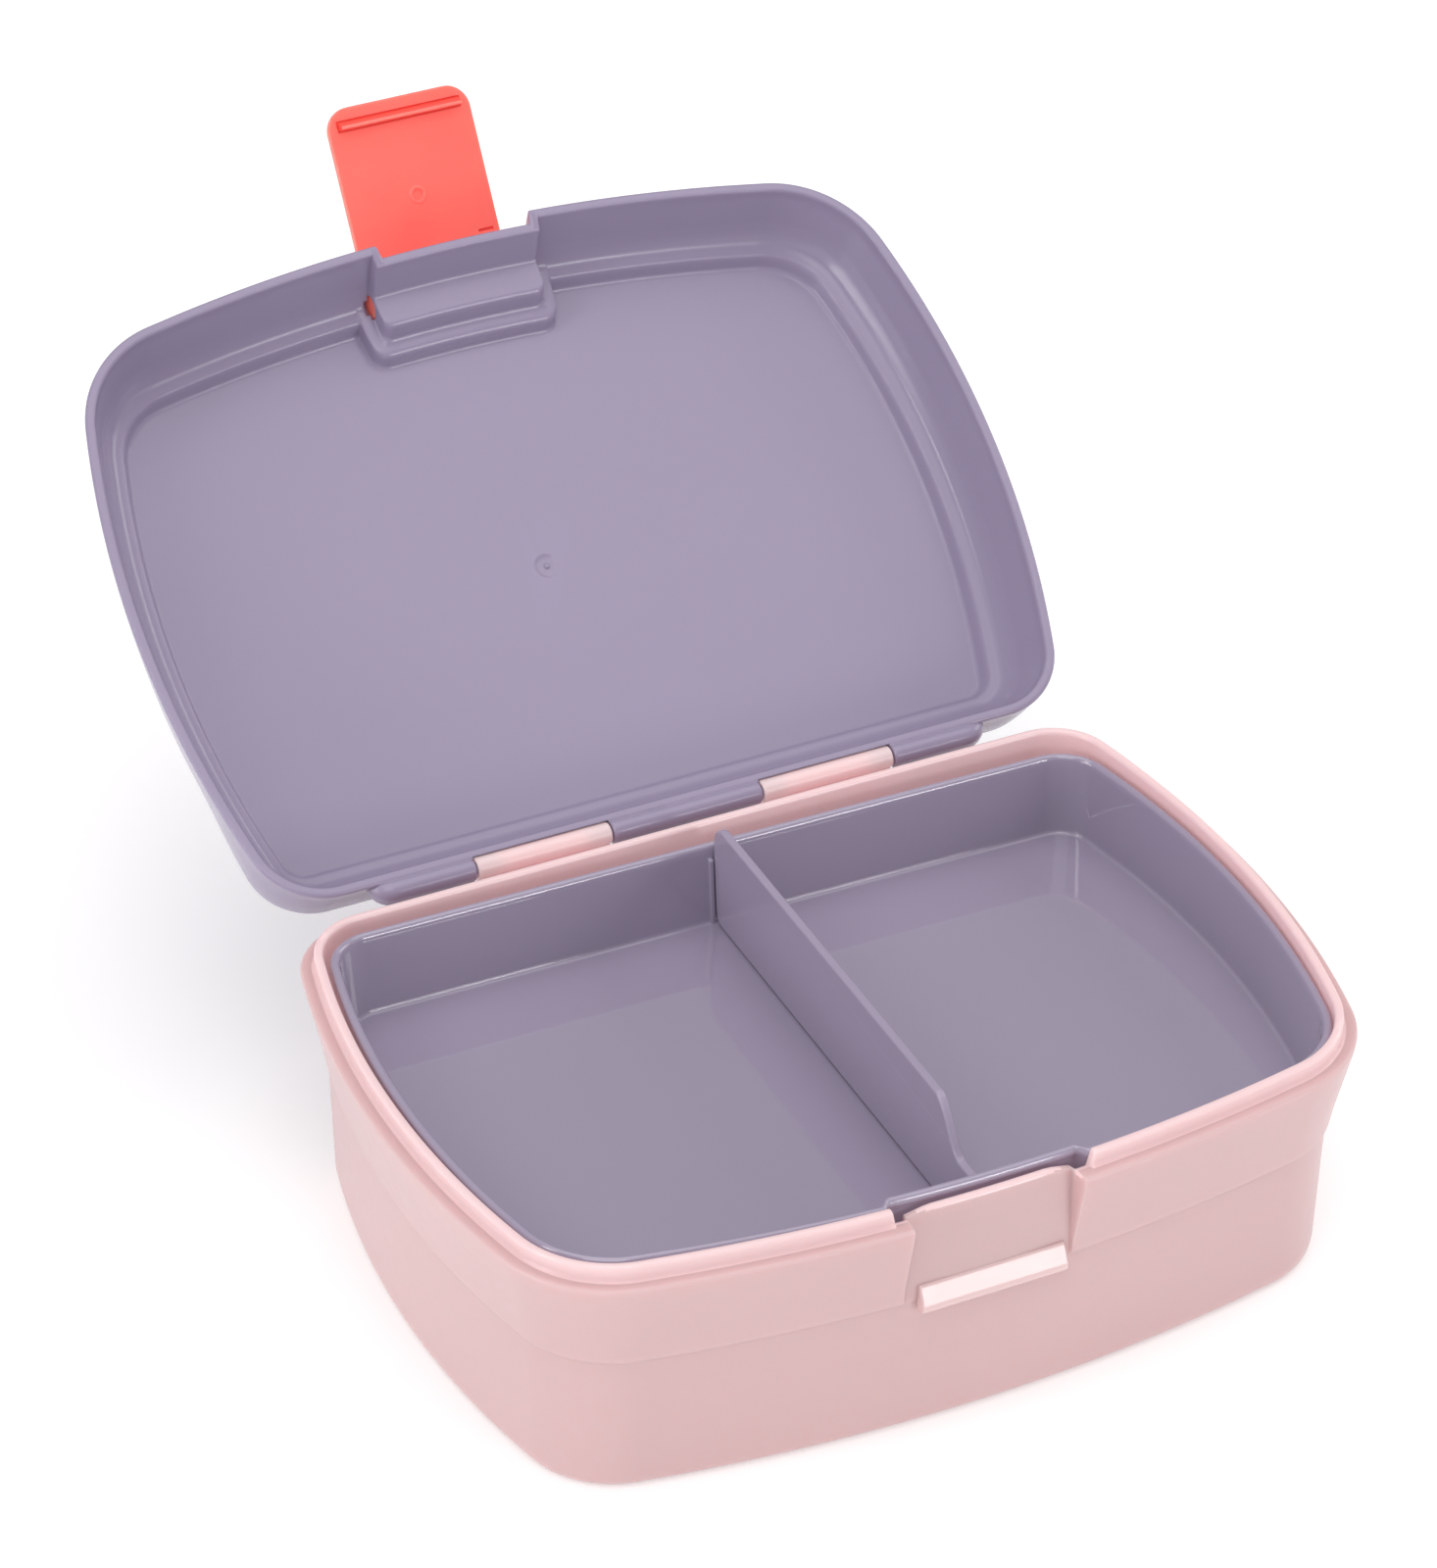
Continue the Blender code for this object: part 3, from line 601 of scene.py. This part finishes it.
def build_lid():
    """The lid, shut, with its three hinge knuckles, their stubs and the latch's pin holes.

    Its columns are closest where the latch pocket ends.
    """
    columns = spaced(((0.0, 1.5), (13.5, 0.12), (20.2, 0.6), (22.0, 1.5), (55.0, 1.0)))
    outline = Outline(HALF_WIDTH, HALF_DEPTH, columns, LID_BACK_SHIFT)
    lid = new_object("lid_shell", shell(outline, lid_section, back=lid_back()))
    scoops = []
    for side in (-1, 1):
        ends = sorted((side * (KNUCKLE_INNER - SCOOP_GAP), side * (KNUCKLE_OUTER + SCOOP_GAP)))
        scoops.append(rod(*HINGE, *ends, SCOOP_RADIUS))
    combine(lid, scoops, "DIFFERENCE")
    web = eased_loop(LID_WEB, 0.7)
    spans = ((-HINGE_END, -KNUCKLE_OUTER - HALF_GAP),
             (-KNUCKLE_INNER + HALF_GAP, KNUCKLE_INNER - HALF_GAP),
             (KNUCKLE_OUTER + HALF_GAP, HINGE_END))
    parts = []
    for low, high in spans:
        meshes = [rod(*HINGE, low, high, KNUCKLE_RADIUS, KNUCKLE_EASE, END_PIECES),
                  prism(web, low + KNUCKLE_EASE, high - KNUCKLE_EASE, 0.0, END_PIECES)]
        if low > -HINGE_END:
            meshes.append(rod(*HINGE, low - STUB_LENGTH, low + 2.0, STUB_RADIUS, 0.3))
        if high < HINGE_END:
            meshes.append(rod(*HINGE, high - 2.0, high + STUB_LENGTH, STUB_RADIUS, 0.3))
        part = joined(meshes)
        if low * high > 0:
            round_off(part, math.copysign(1.0, low))
        parts.append(part)
    combine(lid, parts, "UNION")
    holes = [rod(*PIVOT, *ends, PIVOT_HOLE_RADIUS) for ends in PIVOT_HOLES]
    holes.append(rod(*PIVOT, *HEAD_RECESS_ENDS, PIN_HEAD_RADIUS + HEAD_PLAY))
    holes.append(disc(*GATE, GATE_DIMPLE))
    combine(lid, holes, "DIFFERENCE")
    combine(lid, [disc(*GATE, GATE_NUB)], "UNION")
    return lid


# Latch. The marks on the flap's inner face are (height over the face, height along it).

# The hook ridge and the hollow round it are measured along the flap from RIDGE_Z.
RIDGE_Z = 25.2
# Between these heights the ridge's flanks and its hollow are painted a deeper coral as painted shade.
RIDGE_SHADE_Z = (RIDGE_Z - 2.0, RIDGE_Z + 1.5)
RIDGE_HALF_WIDTH = 12.2
RIDGE_OUTLINE = ((-0.3, -1.1), (1.1, -0.75), (1.8, -0.1), (1.9, 0.4), (1.5, 0.6), (-0.3, 0.5))
HOLLOW_HALF_WIDTH = 12.45
HOLLOW_OUTLINE = ((-0.25, -1.25), (0.6, -1.35), (0.6, 0.95), (-0.25, 0.85))
# A short scribed line near the pivot.
SCRIBE_ENDS = (10.0, 13.0)
SCRIBE_OUTLINE = ((-0.3, 49.25), (0.5, 49.0), (0.5, 49.9), (-0.3, 49.65))
SCRIBE_Z = (49.0, 49.9)
# A plain ring mark: a round pad with a round hollow in it, as (radius, height over the face).
RING_Z = 40.3
RING_PAD = ((1.7, -0.3), (1.7, 0.12), (1.55, 0.2), (1.4, 0.22))
RING_HOLLOW = ((0.9, -0.1), (1.0, 0.0), (1.15, 0.2), (1.2, 0.8))


def on_flap_shaded_hollow(centre, normal):
    """Whether a face is a flank of the flap's ridge, the hollow round it or the scribed line: the faces
    painted a deeper coral as painted shade.
    """
    if abs(centre.x) > SCRIBE_ENDS[1] or centre.y < FLAP_INNER_Y - 0.45:
        return False
    near_ridge = RIDGE_SHADE_Z[0] < centre.z < RIDGE_SHADE_Z[1]
    in_line = SCRIBE_Z[0] < centre.z < SCRIBE_Z[1] and centre.x > SCRIBE_ENDS[0] - 0.1
    return (near_ridge or in_line) and (normal.y < 0.8 or centre.y < FLAP_INNER_Y - 0.1)


def flap_stations():
    """(outer point, inner point, half width) along the flap, from its barrel to its tip."""
    top_low = PIVOT[1] + 0.2
    top_high = PIVOT[1] + BARREL_RADIUS
    centre = (FLAP_OUTER_Y + BEND_OUTER, top_high - BEND_OUTER)
    stations = []
    top_steps = 4
    for step in range(top_steps + 1):
        y = PIVOT[0] + (centre[0] - PIVOT[0]) * step / top_steps
        stations.append(((y, top_high), (y, top_low), LATCH_HALF_WIDTH))
    bend_steps = 10
    for step in range(1, bend_steps + 1):
        angle = math.pi / 2 * (1 + step / bend_steps)
        across, up = math.cos(angle), math.sin(angle)
        outer = (centre[0] + BEND_OUTER * across, centre[1] + BEND_OUTER * up)
        inner = (centre[0] + BEND_INNER * across, centre[1] + BEND_INNER * up)
        inner = mix((inner[0], inner[1] + 0.25), inner, step / bend_steps)
        stations.append((outer, inner, LATCH_HALF_WIDTH))
    straight_end = FLAP_TIP_Z + FLAP_CORNER
    places = spaced(((centre[1] - 1.5, 2.5), (straight_end, 1.0)))
    widths = [LATCH_HALF_WIDTH] * len(places)
    for angle in spaced(((0.07, 0.09), (1.2, 0.03), (math.pi / 2, 1.0))):
        places.append(straight_end - FLAP_CORNER * math.sin(angle))
        widths.append(LATCH_HALF_WIDTH - FLAP_CORNER * (1 - math.cos(angle)))
    for z, half_width in zip(places, widths):
        left = min(max(1.0 - (z - FLAP_TIP_Z) / FLAP_EDGE, 0.0), 1.0)
        thin = FLAP_EDGE * (1.0 - math.sqrt(1.0 - left ** 2))
        stations.append(((FLAP_OUTER_Y + thin, z), (FLAP_INNER_Y - thin, z), half_width))
    return stations


def flap_ring(outer, inner, half_width, ease):
    """A rounded bar section across the flap."""
    thickness = math.dist(outer, inner)
    ease = min(ease, thickness * 0.49)
    near, far = ease, thickness - ease
    corners = ((1, near, 0.0), (-1, near, math.pi / 2), (-1, far, math.pi), (1, far, 1.5 * math.pi))
    steps = 4
    ring = []
    for side, hub_depth, start in corners:
        hub_x = side * (half_width - ease)
        for step in range(steps + 1):
            angle = start + math.pi / 2 * step / steps
            x = hub_x + ease * math.cos(angle)
            depth = hub_depth - ease * math.sin(angle)
            y, z = mix(outer, inner, depth / thickness)
            ring.append((x, y, z))
    return ring


def on_inner_face(outline, base_z=0.0):
    """A (height over the flap's inner face, height along it) outline as (y, z)."""
    return [(FLAP_INNER_Y + over, base_z + along) for over, along in outline]


def ring_mark(stations):
    """A body turned about a line square to the flap's inner face. stations are (radius, height)."""
    mesh = disc(0.0, 0.0, stations)
    place = Matrix.Translation((0.0, FLAP_INNER_Y * MM, RING_Z * MM))
    mesh.transform(place @ Matrix.Rotation(-math.pi / 2, 4, "X"))
    return mesh


def build_latch():
    """The flap, shut, with its barrel, pins, hook ridge and the marks on its inner face."""
    rings = []
    for outer, inner, half_width in flap_stations():
        rings.append(flap_ring(outer, inner, half_width, FLAP_EDGE))
    latch = new_object("latch_flap", loft(rings))
    hollows = [
        prism(on_inner_face(HOLLOW_OUTLINE, RIDGE_Z), -HOLLOW_HALF_WIDTH, HOLLOW_HALF_WIDTH),
        prism(on_inner_face(SCRIBE_OUTLINE), *SCRIBE_ENDS),
    ]
    combine(latch, hollows, "DIFFERENCE")
    combine(latch, [ring_mark(RING_PAD)], "UNION")
    combine(latch, [ring_mark(RING_HOLLOW)], "DIFFERENCE")
    ridge = eased_loop(on_inner_face(RIDGE_OUTLINE, RIDGE_Z), 0.6)
    parts = [
        rod(*PIVOT, -LATCH_HALF_WIDTH, LATCH_HALF_WIDTH, BARREL_RADIUS, 0.25),
        rod(*PIVOT, *PIVOT_PIN_ENDS, PIVOT_PIN_RADIUS, 0.25),
        rod(*PIVOT, *PIN_HEAD_ENDS, PIN_HEAD_RADIUS, 0.15),
        prism(ridge, -RIDGE_HALF_WIDTH, RIDGE_HALF_WIDTH, 0.2),
    ]
    combine(latch, parts, "UNION")
    return latch


# Tray and divider.

# Behind the latch recess the tray is cut back, and the cut ends over these distances.
TRAY_CUT_BACK = 1.85
TRAY_CUT_EDGE = (17.2, 19.3)
# The loose tray sits higher at its left end, by this slope. Its base stays on the ledge.
TRAY_TILT = 0.015
TRAY_BASE_Z = (31.6, 33.0)
# The guide ribs at the divider's two ends.
RIB_PLAY = 0.13
RIB_THICKNESS = 0.9
BACK_RIB = ((51.4, 32.3), (51.6, 46.4), (49.5, 46.4), (48.4, 32.3))
FRONT_RIB = ((-52.4, 32.3), (-52.4, 42.0), (-50.2, 42.0), (-49.4, 32.3))
# Rows are (inset, z, share of the cut-back).
TRAY_ROWS = (
    (5.0, 31.2, 0.0), (3.2, 31.4, 0.0), (2.1, 32.4, 0.0), (1.6, 34.1, 0.1), (0.3, 46.8, 1.0),
    (0.0, 47.6, 1.0), (0.15, 48.4, 1.0), (0.6, 48.8, 1.0), (1.2, 48.8, 1.0), (1.65, 48.4, 1.0),
    (1.85, 47.6, 1.0), (3.2, 34.2, 0.2), (3.3, 33.5, 0.1), (3.6, 33.1, 0.0), (4.3, 33.0, 0.0),
)


def tray_section(distance):
    """The tray's wall in section, from its base over the rim to its floor."""
    back = TRAY_CUT_BACK * blend(distance, *TRAY_CUT_EDGE)
    return eased_line([(inset + back * share, z) for inset, z, share in TRAY_ROWS], SECTION_EASE)


def build_tray():
    """The tray with its guide ribs, tilted as it sits.

    Its columns are closest where the cut-back ends.
    """
    columns = spaced(((0.0, 1.5), (16.5, 0.2), (20.1, 1.5), (55.0, 1.0)))
    outline = Outline(TRAY_HALF_WIDTH, TRAY_HALF_DEPTH, columns)
    tray = new_object("tray_insert", shell(outline, tray_section, TRAY_SHIFT_Y))
    slot = DIVIDER_THICKNESS / 2 + RIB_PLAY
    ribs = []
    for side in (-1, 1):
        ends = sorted((DIVIDER_X + side * slot, DIVIDER_X + side * (slot + RIB_THICKNESS)))
        for rib in (BACK_RIB, FRONT_RIB):
            ribs.append(prism(eased_loop(rib, 0.5), *ends, 0.2))
    combine(tray, ribs, "UNION")
    for vertex in tray.data.vertices:
        above_base = 1.0 - blend(vertex.co.z / MM, *TRAY_BASE_Z)
        vertex.co.z -= TRAY_TILT * vertex.co.x * above_base
    return tray


def build_divider():
    """A plate with a round upper back corner, whose top edge drops in an S near the front."""
    foot = 33.3
    top = 53.8
    drop = top - 45.0
    drop_start = -34.5
    drop_length = 9.5
    back = 50.1
    corner = 3.4
    profile = [(-47.0, foot), (45.8, foot), (47.3, 33.4), (48.3, 34.0), (48.85, 35.6), (50.0, 46.5),
               (back, 50.0)]
    profile += arc((back - corner, top - corner), corner, 0.2, math.pi / 2, 12)
    profile += [(back - corner, top)]
    steps = 30
    for step in range(steps + 1):
        share = step / steps
        z = top - drop * (share ** 2.2) * (3.0 - 2.0 * share ** 1.1)
        profile.append((drop_start - drop_length * share, z))
    profile += [(-50.2, 45.0), (-50.7, 44.5), (-50.4, 36.8), (-49.4, 34.7)]
    low = DIVIDER_X - DIVIDER_THICKNESS / 2
    mesh = prism(eased_loop(profile, 0.5), low, low + DIVIDER_THICKNESS, 0.4)
    return new_object("divider_plate", mesh)


# Materials.

# Noise scales, in features per metre.
DRIFT_SCALE = 14.0
CLOUD_SCALE = 55.0
PEEL_SCALE = 160.0
HAZE_SCALE = 320.0
SPECK_SCALE = 900.0
FINE_SCALE = 2400.0
PAPER_SCALE = 3.0
# Above this much drift of the tone, a plastic is cloudy, and its drift is finer.
CLOUDY = 0.1
# How deep the finest grain is, in metres.
FINE_DEPTH = 0.00003


def node(tree, kind, settings=None, **inputs):
    """A shader node with its settings and input values. A socket given as a value is linked."""
    made = tree.nodes.new("ShaderNode" + kind)
    for name, value in (settings or {}).items():
        setattr(made, name, value)
    for name, value in inputs.items():
        socket = made.inputs[name.replace("_", " ")]
        if isinstance(value, bpy.types.NodeSocket):
            tree.links.new(value, socket)
        else:
            socket.default_value = value
    return made


def noise(tree, place, scale, detail=2.0):
    """A noise field, with scale in features per metre."""
    made = node(tree, "TexNoise", Vector=place, Scale=scale, Detail=detail, Roughness=0.55)
    return made.outputs["Fac"]


def ranged(tree, value, low, high, to_low, to_high):
    """A value taken from one range to another and held there."""
    made = node(tree, "MapRange", {"clamp": True}, Value=value, From_Min=low, From_Max=high,
                To_Min=to_low, To_Max=to_high)
    return made.outputs["Result"]


def mixed(tree, share, a, b):
    """A blend of two colours."""
    made = tree.nodes.new("ShaderNodeMix")
    made.data_type = "RGBA"
    sockets = [s for s in made.inputs if s.type == "RGBA"]
    tree.links.new(share, made.inputs[0])
    for socket, value in zip(sockets, (a, b)):
        if isinstance(value, bpy.types.NodeSocket):
            tree.links.new(value, socket)
        else:
            socket.default_value = (*value, 1.0)
    return [s for s in made.outputs if s.type == "RGBA"][0]


def scaled(colour, factor):
    """A colour made lighter or darker."""
    return tuple(min(channel * factor, 1.0) for channel in colour)


def plastic(name, colour, roughness, grain, subsurface, peel_height=0.00004, edge_light=1.12,
            radius=(0.003, 0.002, 0.002), rounding=0.0004, cloud=0.05, glow=0.0,
            coat=0.0):
    """Moulded polypropylene: pigment drift, fine grain, uneven gloss and paler edges.

    grain is the strength of the finest bumps, peel_height the depth of the broader ones, rounding
    the radius that edges seem to have, and radius how far red, green and blue light travel inside.
    cloud is how far the tone drifts, glow is a painted glow, an emission that stands in for light such
    as the light that a thin clear wall passes on, and coat is a second, sharper gloss.
    """
    material = bpy.data.materials.new(name)
    material.use_nodes = True
    tree = material.node_tree
    shader = tree.nodes["Principled BSDF"]
    place = node(tree, "TexCoord").outputs["Object"]

    drift = noise(tree, place, DRIFT_SCALE if cloud < CLOUDY else CLOUD_SCALE, 1.0)
    tone = mixed(tree, drift, scaled(colour, 1.0 - cloud), scaled(colour, 1.0 + cloud))
    specks = ranged(tree, noise(tree, place, SPECK_SCALE, 3.0), 0.55, 0.75, 0.0, 0.06)
    tone = mixed(tree, specks, tone, scaled(colour, 0.85))
    pointed = node(tree, "NewGeometry").outputs["Pointiness"]
    edge = ranged(tree, pointed, 0.51, 0.58, 0.0, 0.7)
    tone = mixed(tree, edge, tone, scaled(colour, edge_light))
    tree.links.new(tone, shader.inputs["Base Color"])
    # Painted light: glow makes the surface emit its own tone.
    if glow:
        tree.links.new(tone, shader.inputs["Emission Color"])
        shader.inputs["Emission Strength"].default_value = glow

    haze = ranged(tree, noise(tree, place, HAZE_SCALE), 0.0, 1.0, roughness - 0.04, roughness + 0.05)
    tree.links.new(haze, shader.inputs["Roughness"])

    peel = noise(tree, place, PEEL_SCALE)
    fine = noise(tree, place, FINE_SCALE)
    rounded = node(tree, "Bevel", {"samples": 4}, Radius=rounding).outputs["Normal"]
    waves = node(tree, "Bump", Height=peel, Strength=0.35, Distance=peel_height, Normal=rounded)
    texture = node(tree, "Bump", Height=fine, Strength=grain, Distance=FINE_DEPTH,
                   Normal=waves.outputs[0])
    tree.links.new(texture.outputs[0], shader.inputs["Normal"])

    shader.inputs["IOR"].default_value = 1.49
    shader.inputs["Subsurface Weight"].default_value = subsurface
    shader.inputs["Subsurface Radius"].default_value = radius
    shader.inputs["Subsurface Scale"].default_value = 1.0
    shader.inputs["Coat Weight"].default_value = coat
    shader.inputs["Coat Roughness"].default_value = 0.03
    return material


# Stage.

def add_light(name, direction, distance, size, watts, aim=(0.0, 0.02, 0.05)):
    """A soft box that faces the object. size is (width, height) in metres."""
    data = bpy.data.lights.new(name, "AREA")
    data.shape = "RECTANGLE"
    data.size, data.size_y = size
    data.energy = watts
    light = bpy.data.objects.new(name, data)
    bpy.context.scene.collection.objects.link(light)
    unit = Vector(direction).normalized()
    light.location = Vector(aim) + unit * distance
    light.rotation_euler = unit.to_track_quat("Z", "Y").to_euler()


def add_stage():
    """A pale floor, a white sky and six soft boxes."""
    edge = arc((0.0, 0.0), FLOOR_RADIUS, 0.0, 2 * math.pi, 96)
    floor = new_object("floor", loft([[(x, y, z) for x, y in edge] for z in FLOOR_Z]))
    paper = bpy.data.materials.new("floor_paper")
    paper.use_nodes = True
    tree = paper.node_tree
    shader = tree.nodes["Principled BSDF"]
    place = node(tree, "TexCoord").outputs["Object"]
    drift = ranged(tree, noise(tree, place, PAPER_SCALE), 0.3, 0.7, 0.0, 1.0)
    tone = mixed(tree, drift, (0.80, 0.80, 0.805), (0.82, 0.82, 0.82))
    tree.links.new(tone, shader.inputs["Base Color"])
    shader.inputs["Roughness"].default_value = 0.9
    shader.inputs["Emission Color"].default_value = (1.0, 1.0, 1.0, 1.0)
    shader.inputs["Emission Strength"].default_value = 0.3
    floor.data.materials.append(paper)

    world = bpy.data.worlds.new("studio")
    bpy.context.scene.world = world
    world.use_nodes = True
    sky = world.node_tree.nodes["Background"]
    sky.inputs["Color"].default_value = (1.0, 1.0, 1.0, 1.0)
    sky.inputs["Strength"].default_value = 0.42

    add_light("overhead", (0.10, 0.05, 1.0), 1.6, (1.6, 1.6), 11.0)
    add_light("front", (0.385, -0.90, 0.17), 1.5, (0.30, 0.45), 4.2, aim=(0.0, -0.0565, 0.03))
    add_light("camera_side", (-0.34, -0.60, 0.95), 1.6, (0.9, 0.9), 5.0)
    add_light("left", (-0.95, -0.10, 0.20), 1.5, (0.8, 0.5), 6.0)
    add_light("left_strip", (-0.76, -0.04, 0.65), 1.5, (0.22, 0.5), 2.4, aim=(0.0, 0.11, 0.08))
    add_light("right", (0.90, 0.05, 0.50), 1.5, (0.8, 0.5), 3.5)


def add_camera():
    """A long lens that faces CAMERA_TARGET, turned a little about its own line of sight."""
    azimuth = math.radians(CAMERA_AZIMUTH)
    elevation = math.radians(CAMERA_ELEVATION)
    roll = math.radians(CAMERA_ROLL)
    flat = math.cos(elevation)
    back = Vector((math.sin(azimuth) * flat, -math.cos(azimuth) * flat, math.sin(elevation)))
    right = Vector((math.cos(azimuth), math.sin(azimuth), 0.0))
    up = back.cross(right)
    across = right * math.cos(roll) + up * math.sin(roll)
    upright = up * math.cos(roll) - right * math.sin(roll)
    data = bpy.data.cameras.new("camera")
    data.sensor_width = 36.0
    data.lens = CAMERA_LENS
    data.clip_start = 0.05
    data.clip_end = 20.0
    camera = bpy.data.objects.new("camera", data)
    bpy.context.scene.collection.objects.link(camera)
    turned = Matrix((across, upright, back)).transposed().to_4x4()
    camera.matrix_world = Matrix.Translation(Vector(CAMERA_TARGET) + back * CAMERA_DISTANCE) @ turned
    bpy.context.scene.camera = camera


# Pieces with their finishes.

def add_tub():
    """Grained pink outside; smoother on its inside, lip and knuckles, which are painted a lighter,
    glowing pink as painted light; and a glossy catch bar painted paler as a painted highlight.
    """
    tub = build_tub()
    finish_piece(tub, "tub",
                 plastic("tub_pink", PINK, 0.33, 0.2, 0.5, radius=(0.006, 0.0035, 0.0035)))
    # Painted light: the inside, lip and knuckles get a lighter pink that glows.
    paint(tub, on_smooth_lit_part, plastic("smooth_pink_painted_light", PINK_PAINTED_LIGHT, 0.21, 0.05, 0.5,
                                       radius=(0.006, 0.004, 0.004), glow=0.17))
    # Painted highlight: the catch bar gets a paler pink.
    paint(tub, on_catch, plastic("catch_pink_highlight", PINK_CATCH_HIGHLIGHT, 0.17, 0.05, 0.3))


def add_lid():
    """Satin lilac."""
    finish_piece(build_lid(), "lid", plastic("lid_lilac", LILAC, 0.21, 0.06, 0.08),
                 about_x(HINGE, -LID_OPEN_DEG))


def add_latch():
    """Cloudy coral with a painted glow that stands in for the light it passes, and a deeper coral in
    its hollows as painted shade.
    """
    latch = build_latch()
    # Faces painted a deeper coral as painted shade.
    shaded_faces = [face.index for face in latch.data.polygons
                  if on_flap_shaded_hollow(face.center / MM, face.normal)]
    # Painted light: glow=0.16 makes the coral emit, standing in for the light the flap passes.
    coral = plastic("latch_coral", CORAL, 0.22, 0.02, 0.8, 0.00002, edge_light=1.05,
                    radius=(0.010, 0.0022, 0.0017), rounding=0.00025, cloud=0.18, glow=0.16)
    turn = about_x(HINGE, -LID_OPEN_DEG) @ about_x(PIVOT, -LATCH_OPEN_DEG)
    finish_piece(latch, "latch", coral, turn)
    # Painted shade: a deeper coral, with less glow, on the ridge's flanks, the hollow round it and the
    # scribed line.
    shaded_coral = plastic("shaded_coral", CORAL_SHADED, 0.22, 0.02, 0.4, 0.00002, glow=0.08)
    latch.data.materials.append(shaded_coral)
    for index in shaded_faces:
        latch.data.polygons[index].material_index = 1


def add_tray():
    """Glossy lilac, with a plainer plate across it."""
    tray_lilac = plastic("tray_lilac", LILAC_TRAY, 0.07, 0.01, 0.1, 0.000012, coat=0.9)
    divider_lilac = plastic("divider_lilac", LILAC_TRAY, 0.16, 0.02, 0.1, 0.00002)
    finish_piece(build_tray(), "tray", tray_lilac)
    finish_piece(build_divider(), "divider", divider_lilac)


add_camera()
add_stage()
bpy.context.scene.view_settings.view_transform = "Standard"
add_tub()
add_lid()
add_latch()
add_tray()
